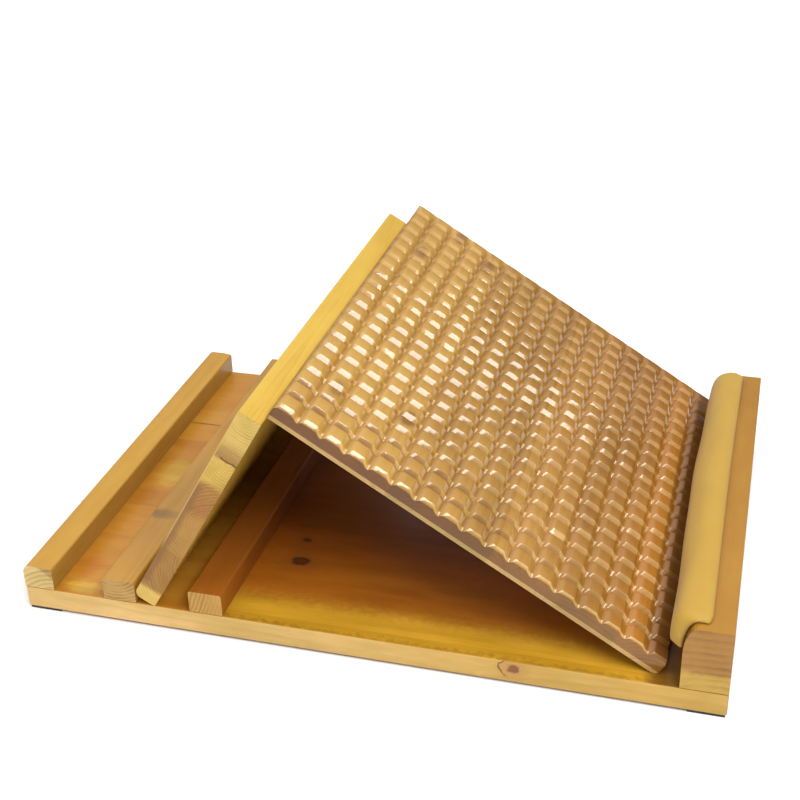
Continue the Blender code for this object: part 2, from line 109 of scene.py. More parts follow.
area_light("key", direction=(0.48, -0.50, 0.75), distance=1.6, size=(0.98, 0.40), power=16.5, roll=11)

# --- Shader helpers ----------------------------------------------------------------------------


class Graph:
    """A short way to write one material's nodes."""

    def __init__(self, name):
        self.material = bpy.data.materials.new(name)
        self.material.use_nodes = True
        self.tree = self.material.node_tree
        self.shader = self.tree.nodes["Principled BSDF"]
        self.coordinates = self.add("ShaderNodeTexCoord")

    def add(self, kind, inputs=None, **settings):
        node = self.tree.nodes.new(kind)
        for name, value in settings.items():
            setattr(node, name, value)
        for name, value in (inputs or {}).items():
            self.put(node.inputs[name], value)
        return node

    def put(self, socket, value):
        if isinstance(value, bpy.types.NodeSocket):
            self.tree.links.new(value, socket)
        else:
            socket.default_value = value

    def math(self, operation, *values, clamp=False):
        node = self.add("ShaderNodeMath", operation=operation, use_clamp=clamp)
        for index, value in enumerate(values):
            self.put(node.inputs[index], value)
        return node.outputs[0]

    def sum(self, *values):
        total = values[0]
        for value in values[1:]:
            total = self.math("ADD", total, value)
        return total

    def less(self, first, second):
        return self.math("SUBTRACT", first, second)

    def times(self, first, second, clamp=False):
        return self.math("MULTIPLY", first, second, clamp=clamp)

    def over(self, first, second):
        return self.math("DIVIDE", first, second)

    def distance(self, first, second):
        return self.math("SQRT", self.sum(self.times(first, first), self.times(second, second)))

    def vector(self, x, y, z):
        return self.add("ShaderNodeCombineXYZ", {"X": x, "Y": y, "Z": z}).outputs[0]

    def split(self, vector):
        return self.add("ShaderNodeSeparateXYZ", {"Vector": vector}).outputs[:3]

    def noise(self, vector, scale=1.0, detail=2.0, roughness=0.5, distortion=0.0):
        inputs = {
            "Vector": vector, "Scale": scale, "Detail": detail,
            "Roughness": roughness, "Distortion": distortion,
        }
        return self.add("ShaderNodeTexNoise", inputs).outputs["Fac"]

    def random(self, value):
        return self.add("ShaderNodeTexWhiteNoise", {"W": value}, noise_dimensions="1D").outputs[1]

    def smooth(self, value, low, high, to_low=0.0, to_high=1.0):
        inputs = {
            "Value": value, "From Min": low, "From Max": high, "To Min": to_low, "To Max": to_high,
        }
        node = self.add("ShaderNodeMapRange", inputs, interpolation_type="SMOOTHSTEP")
        return node.outputs[0]

    def mix(self, factor, first, second, blend="MIX"):
        node = self.add("ShaderNodeMix", data_type="RGBA", blend_type=blend)
        self.put(node.inputs[0], factor)
        self.put(node.inputs[6], first)
        self.put(node.inputs[7], second)
        return node.outputs[2]

    def ramp(self, factor, *stops):
        """A colour ramp through (position, colour) stops."""
        node = self.add("ShaderNodeValToRGB", {"Fac": factor})
        elements = node.color_ramp.elements
        elements[0].position, elements[0].color = stops[0]
        elements[1].position, elements[1].color = stops[-1]
        for position, colour in stops[1:-1]:
            elements.new(position).color = colour
        return node.outputs[0]

    def millimetres(self):
        """The object's own coordinates, in mm."""
        inputs = {"Vector": self.coordinates.outputs["Object"], "Scale": (1000, 1000, 1000)}
        return self.add("ShaderNodeMapping", inputs).outputs[0]

    def bump(self, height, strength, distance):
        inputs = {"Height": height, "Strength": strength, "Distance": distance}
        return self.add("ShaderNodeBump", inputs).outputs[0]


def paint(red, green, blue):
    """A linear colour with its alpha."""
    return (red, green, blue, 1.0)


def scaled(colour, factor):
    return (*[factor * value for value in colour[:3]], 1.0)


# --- Wood --------------------------------------------------------------------------------------

KNOT_HEART = paint(0.10, 0.028, 0.01)


def wood(
    name, pale, mid, dark, grain=1, across=0, up=2, turn=0.0, origin=(0, 0, 0), stave=0.0, stave_start=0.0, cuts=(),
    tone=0.3, pith=(0.0, -45.0), spread=(30.0, 25.0), ring=3.2, line=0.2, end_line=1.0, fibre=0.3, cloudy=0.7,
    warp=5.0, knots=(), spots=(), finish=None, roughness=0.34, shine=0.2, coat=0.15,
    coat_roughness=0.16,
):
    """Varnished softwood whose rings run through the solid, so faces and end grain agree.

    grain, across and up are axis indices after the turn about Y. Sizes are in millimetres.
    """
    g = Graph(name)
    place = g.add("ShaderNodeMapping", {
        "Vector": g.coordinates.outputs["Object"],
        "Location": Matrix.Rotation(turn, 3, "Y") @ Vector(origin) * -1000,
        "Rotation": (0, turn, 0),
        "Scale": (1000, 1000, 1000),
    })
    facing = g.add("ShaderNodeMapping", {
        "Vector": g.coordinates.outputs["Normal"], "Rotation": (0, turn, 0),
    }, vector_type="NORMAL")
    axes, normal = g.split(place.outputs[0]), g.split(facing.outputs[0])
    along, side, height = axes[grain], axes[across], axes[up]
    end = g.smooth(g.math("ABSOLUTE", normal[grain]), 0.7, 0.95)
    # slow wander of the whole figure, long along the grain
    slow = g.vector(g.times(along, 0.006), g.times(side, 0.02), g.times(height, 0.02))
    wander = g.less(g.noise(slow, 1.0, 2.0), 0.5)
    within, (pith_side, pith_up) = side, pith
    shade, shift = 0.0, 0.0
    if stave:
        # staves of uneven width, each cut from its own place in the tree
        wobble = g.times(g.math("SINE", g.times(side, 0.043)), stave * 0.16)
        number = g.over(g.sum(side, wobble, -stave_start), stave)
        index = g.math("FLOOR", number)
        within = g.times(g.less(g.less(number, index), 0.5), stave)
    elif cuts:
        # staves with given edges across the board
        index, start = 0.5, cuts[0]
        for before, cut in zip(cuts, cuts[1:-1]):
            past = g.math("GREATER_THAN", side, cut)
            index = g.sum(index, past)
            start = g.sum(start, g.times(past, cut - before))
        within = g.less(g.less(side, start), 12.0)
    if stave or cuts:
        draw = g.split(g.random(index))
        pith_side = g.times(g.less(draw[0], 0.5), 2 * spread[0])
        pith_up = g.sum(g.times(g.less(draw[1], 0.5), 2 * spread[1]), pith_up)
        shade = g.less(draw[2], 0.5)
        shift = g.times(draw[0], 40.0)
    x = g.sum(g.less(within, pith_side), g.times(wander, warp * 2))
    z = g.sum(g.less(height, pith_up), g.times(wander, warp))
    radius = g.distance(x, z)
    rough_edge = g.times(g.less(g.noise(place.outputs[0], 0.22, 3.0, 0.6), 0.5), 1.3)
    radius = g.sum(radius, g.times(along, 0.012), g.times(g.times(rough_edge, end), 1.5))
    knot_mask, knot_rim, knot_halo = 0.0, 0.0, 0.0
    for at_along, at_side, size in knots:
        da = g.over(g.less(along, at_along), 1.4)
        ds = g.less(side, at_side)
        far = g.distance(da, ds)
        pull = g.math("EXPONENT", g.over(far, -size * 1.6))
        radius = g.sum(radius, g.times(pull, 9.0))
        edge = g.sum(g.over(far, size), rough_edge)
        inside = g.smooth(edge, 0.5, 0.85, 1.0, 0.0)
        rim = g.times(g.smooth(edge, 0.4, 0.65), g.smooth(edge, 0.75, 1.2, 1.0, 0.0))
        halo = g.smooth(edge, 0.9, 3.2, 1.0, 0.0)
        knot_mask = g.math("MAXIMUM", knot_mask, inside)
        knot_rim = g.math("MAXIMUM", knot_rim, rim)
        knot_halo = g.math("MAXIMUM", knot_halo, halo)
    # growth rings: pale early wood that darkens and ends in a thin late-wood line, strong in places only
    count = g.sum(g.over(radius, ring), g.times(wander, 1.4), shift)
    phase = g.math("FRACT", count)
    late = g.times(g.smooth(phase, 0.25, 0.92), g.smooth(phase, 0.94, 1.0, 1.0, 0.0))
    unequal = g.split(g.random(g.math("FLOOR", count)))[0]
    elsewhere = g.add("ShaderNodeVectorMath", {0: slow, 1: (9.3, 4.1, 2.7)}).outputs[0]
    visible = g.smooth(g.noise(elsewhere, 1.7, 2.0), 0.36, 0.64, 0.25, 1.0)
    late = g.times(g.times(late, visible), g.sum(g.times(unequal, 0.7), 0.3))
    fine = g.vector(g.times(along, 0.03), g.times(side, 1.2), g.times(height, 1.2))
    strands = g.noise(fine, 1.0, 4.0, 0.65)
    cloud = g.noise(slow, 2.3, 3.0, 0.6)
    amount = g.sum(
        g.times(g.times(late, line), g.sum(g.times(end, end_line), 1.0)),
        g.times(g.less(strands, 0.5), fibre),
        g.times(g.less(cloud, 0.5), cloudy),
        g.times(shade, tone),
        0.4,
    )
    colour = g.ramp(amount, (0.0, pale), (0.45, mid), (1.0, dark))
    tone_factor = g.smooth(amount, 0.15, 0.85, 1.12, 0.72)
    tone_colour = g.vector(tone_factor, tone_factor, g.times(tone_factor, tone_factor))
    at = {
        "along": along, "side": side, "height": height, "normal": normal, "end": end, "late": late,
        "strands": strands, "cloud": cloud, "figure": tone_colour, "edge": rough_edge, "place": place.outputs[0],
    }
    for spot_along, spot_side, reach_along, reach_side, tint, strength in spots:
        da = g.over(g.less(along, spot_along), reach_along)
        ds = g.over(g.less(side, spot_side), reach_side)
        far = g.distance(da, ds)
        mask = g.smooth(g.sum(far, g.times(rough_edge, 0.6)), 0.45, 1.25, strength, 0.0)
        colour = g.mix(mask, colour, g.mix(1.0, tint, tone_colour, "MULTIPLY"))
    if finish is not None:
        colour = finish(g, colour, at)
    if knots:
        colour = g.mix(g.times(knot_halo, 0.35), colour, scaled(KNOT_HEART, 2.2))
        colour = g.mix(g.times(knot_mask, 0.9), colour, KNOT_HEART)
        colour = g.mix(g.times(knot_rim, 0.7), colour, scaled(KNOT_HEART, 0.35))
    g.put(g.shader.inputs["Base Color"], colour)
    gloss = g.sum(
        g.times(g.less(strands, 0.5), 0.12),
        g.times(g.less(cloud, 0.5), 0.12),
        g.times(end, 0.15),
        roughness,
    )
    g.put(g.shader.inputs["Roughness"], gloss)
    g.shader.inputs["Specular IOR Level"].default_value = shine
    g.shader.inputs["Coat Weight"].default_value = coat
    g.shader.inputs["Coat Roughness"].default_value = coat_roughness
    height_map = g.less(g.times(strands, 0.5), g.times(late, 0.6))
    g.put(g.shader.inputs["Normal"], g.bump(height_map, 0.3, 0.0004))
    return g.material


def dress(material, *names):
    """Gives CAD nodes a material in their own slots."""
    for name in names:
        node = NODES[name]
        node.data.materials.clear()
        node.data.materials.append(material)


# --- Floor and world ---------------------------------------------------------------------------

SKY_DARK, SKY_BRIGHT = (0.3, 0.14), (0.8, 1.52)  # the gradient's ends: place and brightness
LEFT_GLOW = -0.26  # how far the brightness reaches down on the left, along X


def build_world():
    """Light that brightens upwards and to the left, behind a backdrop that the camera sees as plain white."""
    world = bpy.data.worlds.new("studio")
    scene.world = world
    world.use_nodes = True
    nodes, links = world.node_tree.nodes, world.node_tree.links

    def math_node(operation, first, second):
        node = nodes.new("ShaderNodeMath")
        node.operation = operation
        for socket, value in zip(node.inputs, (first, second)):
            if isinstance(value, bpy.types.NodeSocket):
                links.new(value, socket)
            else:
                socket.default_value = value
        return node.outputs[0]

    apart = nodes.new("ShaderNodeSeparateXYZ")
    links.new(nodes.new("ShaderNodeTexCoord").outputs["Generated"], apart.inputs[0])
    left = math_node("MAXIMUM", math_node("MULTIPLY", apart.outputs[0], LEFT_GLOW), 0.0)
    shade = nodes.new("ShaderNodeValToRGB")
    links.new(math_node("ADD", apart.outputs[2], left), shade.inputs[0])
    for element, (position, bright) in zip(shade.color_ramp.elements, (SKY_DARK, SKY_BRIGHT)):
        element.position, element.color = position, (bright, bright, bright, 1)
    background, backdrop = nodes["Background"], nodes.new("ShaderNodeBackground")
    links.new(shade.outputs[0], background.inputs["Color"])
    backdrop.inputs["Color"].default_value = (1, 1, 1, 1)
    choose = nodes.new("ShaderNodeMixShader")
    links.new(nodes.new("ShaderNodeLightPath").outputs["Is Camera Ray"], choose.inputs[0])
    links.new(background.outputs[0], choose.inputs[1])
    links.new(backdrop.outputs[0], choose.inputs[2])
    links.new(choose.outputs[0], nodes["World Output"].inputs[0])


build_world()

FLOOR_REACH = 14.0  # metres from the middle
floor = bpy.data.objects.new("studio_floor", bpy.data.meshes.new("studio_floor"))
scene.collection.objects.link(floor)
corners = [(x * FLOOR_REACH, y * FLOOR_REACH, 0) for x, y in ((-1, -1), (1, -1), (1, 1), (-1, 1))]
floor.data.from_pydata(corners, [], [(0, 1, 2, 3)])
floor.location.z = whole_low.z
floor_graph = Graph("studio_floor")
floor_graph.put(floor_graph.shader.inputs["Base Color"], (0.93, 0.93, 0.93, 1))
floor_graph.put(floor_graph.shader.inputs["Roughness"], 0.9)
floor.data.materials.append(floor_graph.material)

# --- The carved tread --------------------------------------------------------------------------

COLUMNS = 17
ROWS = 20
COLUMN_PITCH = 17.9
FIRST_COLUMN = 7.8  # from the board's upper end to the first studs' middle
NEAR_ARRIS = (3.5, 1.6)  # first studs' near arris from the near edge, at the upper and the lower end
NEAR_SLOPE = 0.9  # fall of the lip before the first studs
FAR_MARGIN = 9.8  # from the last cut's arris to the far edge
CUT_DEPTH = 3.2
# across a stud from its middle: distance, depth, and how much of SPREAD it takes at the foot of a cut
STUD_SECTION = (
    (-8.2, 2.5, 0.0), (-7.3, 2.22, 0.35), (-6.5, 1.5, 0.7), (-5.4, 0.5, 1.0), (-4.8, 0.14, 1.0), (-4.1, 0.0, 1.0),
    (-1.6, 0.0, 0.4), (1.6, 0.0, 0.4),
    (3.9, 0.0, 1.0), (4.6, 0.12, 1.0), (5.3, 0.42, 1.0), (7.4, 1.65, 0.7), (8.7, 2.3, 0.35),
)
SPREAD = 1.4
SECTION_SLOPE = 48.3  # degrees, of the near facet in ROW_SECTION
NEAR_ROW_SLOPES = (46.5, 53.0, 52.0)
ROW_SLOPE = 48.2
FADE_ROW, FADE_ROWS, FADE_SLOPE = 9, 4, 1.7  # the facets flatten over a few rows from this one
# along a row from a stud's near arris: the whole cut between two rows, then the stud's top
ROW_SECTION = (
    (-7.9, 0.0), (-7.35, 0.08), (-6.95, 0.36), (-4.5, 2.95), (-3.9, 3.2), (-3.3, 3.2), (-2.63, 2.95),
    (-0.33, 0.36), (-0.03, 0.09), (0.35, 0.0), (5.2, 0.0),
)


def board_frame(name, pivot):
    """The turn that lays a board's largest flat face level, and the board's box in that frame."""
    mesh = NODES[name].data
    areas = {}
    for polygon in mesh.polygons:
        key = tuple(round(value, 3) for value in polygon.normal)
        areas[key] = areas.get(key, 0.0) + polygon.area
    under = Vector(max(areas, key=areas.get)).normalized()
    if under.z > 0:
        under = -under
    x_axis = Vector((-under.z, 0, under.x))
    turn = Matrix((x_axis, (0, 1, 0), -under)).transposed()
    frame_matrix = Matrix.Translation(pivot) @ turn.to_4x4()
    inverse = frame_matrix.inverted()
    points = [inverse @ vertex.co for vertex in mesh.vertices]
    low = Vector([min(point[axis] for point in points) for axis in range(3)])
    high = Vector([max(point[axis] for point in points) for axis in range(3)])
    return frame_matrix, low, high


JOINTS = {joint["name"]: joint for joint in frame["joints"]}
HEEL_PIVOT = Vector(JOINTS["tread_lift"]["pos_m"])
TREAD_FRAME, TREAD_LOW, TREAD_HIGH = board_frame("tread_board", HEEL_PIVOT)
PROP_PIVOT = Vector(JOINTS["prop_fold"]["pos_m"])
PROP_FRAME, PROP_LOW, PROP_HIGH = board_frame("prop_board", PROP_PIVOT)
PROP_TURN = math.atan2(PROP_FRAME[2][0], PROP_FRAME[0][0])


def facet_width(row):
    """The near facets' width beside the section's: their slope differs a little from row to row."""
    if row < len(NEAR_ROW_SLOPES):
        slope = NEAR_ROW_SLOPES[row]
    else:
        slope = ROW_SLOPE - FADE_SLOPE * min(FADE_ROWS, max(0, row - FADE_ROW))
    return math.tan(math.radians(SECTION_SLOPE)) / math.tan(math.radians(slope))


def column_lines():
    """Distances down the slope, in mm, with the groove's depth there and how the line spreads in a cut."""
    length = (TREAD_HIGH.x - TREAD_LOW.x) / MM
    lines = [(0.0, 2.6, 0.0, 0)]
    for column in range(COLUMNS):
        middle = FIRST_COLUMN + COLUMN_PITCH * column
        for away, depth, share in STUD_SECTION:
            if 0.3 < middle + away < length - 0.3:
                lines.append((middle + away, depth, math.copysign(share, away), column))
    last = lines.pop()
    lines += [(length - 1.4, 0.1, 0.0, COLUMNS - 1), (length - 0.5, 0.7, 0.0, COLUMNS - 1)]
    lines.append((length, 2.0, 0.0, COLUMNS - 1))
    return lines


def tread_surface():
    """The top as a grid of (down the slope, from the near edge, depth), over the column and row lines."""
    lines = column_lines()
    length = (TREAD_HIGH.x - TREAD_LOW.x) / MM
    width = (TREAD_HIGH.y - TREAD_LOW.y) / MM
    lean = RANDOM.normal(0, 0.018, (COLUMNS, ROWS + 1))
    slip = RANDOM.normal(0, 0.12, (COLUMNS, ROWS + 1))
    sink = RANDOM.normal(0, 0.06, (COLUMNS, ROWS + 1))
    grid = []
    for at, groove, share, column in lines:
        first = NEAR_ARRIS[0] + (NEAR_ARRIS[1] - NEAR_ARRIS[0]) * (at / length)
        pitch = (width - FAR_MARGIN - first) / (ROWS - 1)
        lip = (first - 0.3) * NEAR_SLOPE
        profile = [(0.0, lip + 0.5), (0.25, lip), (first - 0.35, 0.34), (first - 0.04, 0.07), (first + 0.4, 0.0)]
        profile.append((first + 5.2, 0.0))
        for row in range(1, ROWS):
            arris = first + pitch * row + slip[column, row]
            for away, cross in ROW_SECTION:
                stretch = facet_width(row) + lean[column, row] if -3 < away < 0 else 1
                low = sink[column, row] if away > 1 else 0
                profile.append((arris + away * stretch, cross + abs(low)))
        profile += [(width - 1.4, 0.0), (width - 0.6, 0.15), (width, 0.7)]
        points = []
        for away, cross in profile:
            fade = min(1.0, max(0.0, (width - 0.5 - away) / 6.0))
            kept = 0.12 + 0.88 * fade * fade * (3 - 2 * fade)
            cut = min(1.0, cross / CUT_DEPTH)
            points.append((
                at + share * SPREAD * cut,
                away,
                groove * kept * (1 - 0.16 * cut) + cross,
            ))
        grid.append(points)
    return grid


def build_tread():
    """One closed mesh: the carved grid on top, a flat underside and a nose rounded about the pins."""
    grid = tread_surface()
    count_i, count_j = len(grid), len(grid[0])
    top = TREAD_HIGH.z / MM
    under = TREAD_LOW.z / MM
    start = TREAD_LOW.x / MM
    near = TREAD_LOW.y / MM
    points, faces = [], []
    for i in range(count_i):
        for j in range(count_j):
            at, away, depth = grid[i][j]
            points.append((start + at, near + away, top - depth))

    def number(i, j):
        return i * count_j + j

    for i in range(count_i - 1):
        for j in range(count_j - 1):
            faces.append((number(i, j), number(i + 1, j), number(i + 1, j + 1), number(i, j + 1)))
    # the underside follows the same outline, with the lower end rounded about the pins
    radius = -under
    nose = [(radius * math.sin(step * math.pi / 16), -radius * math.cos(step * math.pi / 16)) for step in range(1, 8)]
    nose.append((TREAD_HIGH.x / MM, 0.0))
    row_near, row_far = [], []
    for y_index, row in ((0, row_near), (count_j - 1, row_far)):
        y = points[number(0, y_index)][1]
        for x, z in [(start, under)] + [(0.0, under)] + nose:
            row.append(len(points))
            points.append((x, y, z))
    near_top = [number(i, 0) for i in range(count_i)]
    far_top = [number(i, count_j - 1) for i in range(count_i)]
    faces.append(tuple(row_near + near_top[::-1]))
    faces.append(tuple(far_top + row_far[::-1]))
    for index in range(len(row_near) - 1):
        faces.append((row_near[index], row_far[index], row_far[index + 1], row_near[index + 1]))
    start_edge = [number(0, j) for j in range(count_j)]
    end_edge = [number(count_i - 1, j) for j in range(count_j)]
    faces.append(tuple([row_far[0], row_near[0]] + start_edge))
    faces.append(tuple([row_near[-1], row_far[-1]] + end_edge[::-1]))
    mesh = bpy.data.meshes.new("massage_tread")
    mesh.from_pydata([[value * MM for value in point] for point in points], [], faces)
    edit = bmesh.new()
    edit.from_mesh(mesh)
    bmesh.ops.recalc_face_normals(edit, faces=edit.faces)
    bmesh.ops.triangulate(edit, faces=[face for face in edit.faces if len(face.verts) > 4])
    edit.to_mesh(mesh)
    edit.free()
    tread = bpy.data.objects.new("massage_tread", mesh)
    scene.collection.objects.link(tread)
    return tread


def cut_boxes(item, boxes):
    """Cuts boxes, given in the item's own frame in metres, out of it."""
    edit = bmesh.new()
    for low, high in boxes:
        made = bmesh.ops.create_cube(edit, size=1.0)
        size = Vector(high) - Vector(low)
        middle = (Vector(high) + Vector(low)) / 2
        bmesh.ops.scale(edit, verts=made["verts"], vec=size)
        bmesh.ops.translate(edit, verts=made["verts"], vec=middle)
    mesh = bpy.data.meshes.new("cutter")
    edit.to_mesh(mesh)
    edit.free()
    cutter = bpy.data.objects.new("cutter", mesh)
    scene.collection.objects.link(cutter)
    cut = item.modifiers.new("mortises", "BOOLEAN")
    cut.operation = "DIFFERENCE"
    cut.solver = "EXACT"
    cut.object = cutter
    bpy.context.view_layer.update()
    result = bpy.data.meshes.new_from_object(item.evaluated_get(bpy.context.evaluated_depsgraph_get()))
    item.modifiers.remove(cut)
    old = item.data
    item.data = result
    bpy.data.meshes.remove(old)
    bpy.data.objects.remove(cutter)
    bpy.data.meshes.remove(mesh)


def local_box(name, frame_matrix):
    """A node's box in another frame."""
    inverse = frame_matrix.inverted()
    points = [inverse @ vertex.co for vertex in NODES[name].data.vertices]
    low = Vector([min(point[axis] for point in points) for axis in range(3)])
    high = Vector([max(point[axis] for point in points) for axis in range(3)])
    return low, high


tread = build_tread()
ROOM = 0.3 * MM
mortises = []
for side in ("near", "far"):
    low, high = local_box(f"heel_hinge_{side}_tread_leaf", TREAD_FRAME)
    plate_top = TREAD_LOW.z + 1.0 * MM
    beyond = TREAD_HIGH.x + 2 * MM
    barrel = high.z
    mortises.append(((low.x - ROOM, low.y - ROOM, TREAD_LOW.z - 2 * MM), (beyond, high.y + ROOM, plate_top + ROOM)))
    mortises.append(((-barrel - ROOM, low.y - ROOM, TREAD_LOW.z - 2 * MM), (beyond, high.y + ROOM, barrel + ROOM)))
for mortise in mortises:
    cut_boxes(tread, [mortise])
tread.matrix_world = TREAD_FRAME
tread.data.shade_smooth()
tread.data.set_sharp_from_angle(angle=math.radians(24))

# --- The heel pad ------------------------------------------------------------------------------


def pad_swell(run):
    """How far the padding stands out beyond its plain thickness, by the distance from its near end, in mm."""
    return 0.9 - 1.5 * math.cos(2 * math.pi * (run - 64) / 232) + 0.5 * math.sin(2 * math.pi * run / 97 + 1.0)


PAD_STEPS = 80
PAD_FULLNESS = 0.66  # 1 would be a plain ellipse over the rail's corner
PAD_NEAR_END, PAD_FAR_END = (8 * MM, 0.42), (3 * MM, 0.85)  # length of each end's roll, and thickness left at its tip
PAD_FAR_LIFT = 1.9 * MM
PAD_CAP = 2.6 * MM  # the most that the cloth may move
RAIL_CORNER = (9 * MM, 20 * MM)
PAD_GAP = 0.35 * MM
CLOTH_FRAMES = 20


def build_pad():
    """A padded strip folded over the heel rail's inner top corner, blown up as cloth off its glued back."""
    pad_low, pad_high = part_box("heel_pad")
    rail_low, rail_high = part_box("heel_rail")
    corner, gap = Vector(RAIL_CORNER), PAD_GAP
    face_x, top_z = rail_low.x, rail_high.z
    # the glued back, from the top's edge round the rail's corner and down its face
    back = [Vector((pad_high.x - 2.5 * MM, top_z + gap)), Vector((face_x + corner.x + 3 * MM, top_z + gap))]
    for step in range(9):
        angle = math.radians(90 + 90 * step / 8)
        back.append(Vector((
            face_x + corner.x + (corner.x + gap) * math.cos(angle),
            top_z - corner.y + (corner.y + gap) * math.sin(angle),
        )))
    back.append(Vector((face_x - gap, pad_low.z + 2.5 * MM)))
    # the free side: rolled lower edge, full face, crowned top, rolled upper edge
    thick = face_x - pad_low.x
    middle = top_z - corner.y
    free = [
        Vector((face_x - 2.4 * MM, pad_low.z + 0.5 * MM)), Vector((face_x - 5.2 * MM, pad_low.z + 0.6 * MM)),
        Vector((pad_low.x + 1.4 * MM, pad_low.z + 2.9 * MM)), Vector((pad_low.x + 0.5 * MM, middle - 0.5 * MM)),
    ]
    for step in range(1, 8):
        angle = math.radians(180 - 90 * step / 7)
        free.append(Vector((
            face_x + corner.x - (corner.x + thick - 0.5 * MM) * abs(math.cos(angle)) ** PAD_FULLNESS,
            middle + (pad_high.z - 0.6 * MM - middle) * math.sin(angle) ** PAD_FULLNESS,
        )))
    free.append(Vector((pad_high.x - 5.0 * MM, pad_high.z - 0.9 * MM)))
    free.append(Vector((pad_high.x - 1.6 * MM, pad_high.z - 2.0 * MM)))
    free.append(Vector((pad_high.x - 0.6 * MM, pad_high.z - 4.0 * MM)))

    def behind(index):
        """The point of the back that a point of the free side shrinks to."""
        place = (1 - (index + 0.5) / len(free)) * (len(back) - 1)
        first = min(len(back) - 2, int(place))
        return back[first].lerp(back[first + 1], place - first)

    near, far = pad_low.y + 1.2 * MM, pad_high.y - 1.2 * MM
    steps = PAD_STEPS
    size = len(back) + len(free)
    points, faces, glued = [], [], []
    for step in range(steps + 1):
        share = step / steps
        y = near + (far - near) * share
        ends = min(share, 1 - share) * (far - near)
        reach, least = PAD_NEAR_END if share < 0.5 else PAD_FAR_END
        roll = min(1.0, ends / reach)
        kept = least + (1 - least) * math.sqrt(1 - (1 - roll) ** 2)
        swell = pad_swell((y - near) / MM) * MM
        for point in back:
            glued.append(len(points))
            points.append((point.x, y, point.y))
        for index, point in enumerate(free):
            face_share = max(0.0, min(1.0, (face_x + 3 * MM - point.x) / (thick + 3 * MM)))
            top_share = max(0.0, (point.y - middle) / (pad_high.z - middle))
            lift = PAD_FAR_LIFT * top_share * max(0.0, 2 * share - 1)
            moved = Vector((point.x - swell * face_share * 0.75, point.y + lift))
            moved = behind(index).lerp(moved, kept)
            points.append((moved.x, y, moved.y))
    for step in range(steps):
        for index in range(size):
            a = step * size + index
            b = step * size + (index + 1) % size
            faces.append((a, b, b + size, a + size))
    # each end is closed by a strip between the back and the free side
    for base, flip in ((0, 1), (steps * size, 0)):
        for index in range(len(back) - 1):
            other = size - 1 - round(index * (len(free) - 1) / (len(back) - 1))
            beyond = size - 1 - round((index + 1) * (len(free) - 1) / (len(back) - 1))
            for corners in ((index, index + 1, other), (index + 1, beyond, other)):
                if len(set(corners)) == 3:
                    ring = tuple(base + corner_index for corner_index in corners)
                    faces.append(ring[::-1] if flip else ring)
    mesh = bpy.data.meshes.new("heel_pad_cover")
    mesh.from_pydata(points, [], faces)
    edit = bmesh.new()
    edit.from_mesh(mesh)
    bmesh.ops.recalc_face_normals(edit, faces=edit.faces)
    edit.to_mesh(mesh)
    edit.free()
    item = bpy.data.objects.new("heel_pad_cover", mesh)
    scene.collection.objects.link(item)
    inflate(item, glued, PAD_CAP)
    refine = item.modifiers.new("smooth", "SUBSURF")
    refine.levels = refine.render_levels = 1
    apply_modifiers(item)
    item.data.shade_smooth()
    return item


def apply_modifiers(item):
    """Replaces the object's mesh by what its modifiers make of it."""
    bpy.context.view_layer.update()
    result = bpy.data.meshes.new_from_object(item.evaluated_get(bpy.context.evaluated_depsgraph_get()))
    old = item.data
    item.modifiers.clear()
    item.data = result
    bpy.data.meshes.remove(old)


def inflate(item, pinned, cap):
    """Runs a cloth simulation with inner pressure, and lets no point move farther than the cap."""
    item.vertex_groups.new(name="glued").add(pinned, 1.0, "REPLACE")
    start = [vertex.co.copy() for vertex in item.data.vertices]
    cloth = item.modifiers.new("inflate", "CLOTH")
    cloth.settings.use_pressure = True
    cloth.settings.uniform_pressure_force = 4.0
    cloth.settings.effector_weights.gravity = 0.0
    cloth.settings.vertex_group_mass = "glued"
    cloth.settings.quality = 5
    cloth.settings.mass = 0.002
    cloth.settings.tension_stiffness = 8.0
    cloth.settings.compression_stiffness = 8.0
    cloth.settings.bending_stiffness = 0.05
    cloth.collision_settings.use_collision = False
    for number in range(1, CLOTH_FRAMES + 1):
        scene.frame_set(number)
    swollen = item.evaluated_get(bpy.context.evaluated_depsgraph_get()).to_mesh()
    moves = [vertex.co - old for vertex, old in zip(swollen.vertices, start)]
    item.modifiers.remove(cloth)
    for vertex, old, move in zip(item.data.vertices, start, moves):
        vertex.co = old + (move * (cap / move.length) if move.length > cap else move)
    scene.frame_set(1)
    item.vertex_groups.clear()


pad = build_pad()

# --- Materials ---------------------------------------------------------------------------------


def figured(g, tint, at):
    """A plain tint that keeps the wood's own streaks."""
    return g.mix(1.0, tint, at["figure"], "MULTIPLY")


def long_edge(g, at):
    """1 on the faces whose normal is along Y."""
    return g.smooth(g.math("ABSOLUTE", at["normal"][1]), 0.6, 0.9)


def lined(g, at, tint, line, strength):
    """End grain: a tint with the growth rings drawn over it."""
    return g.mix(g.times(at["late"], strength, clamp=True), figured(g, tint, at), line)


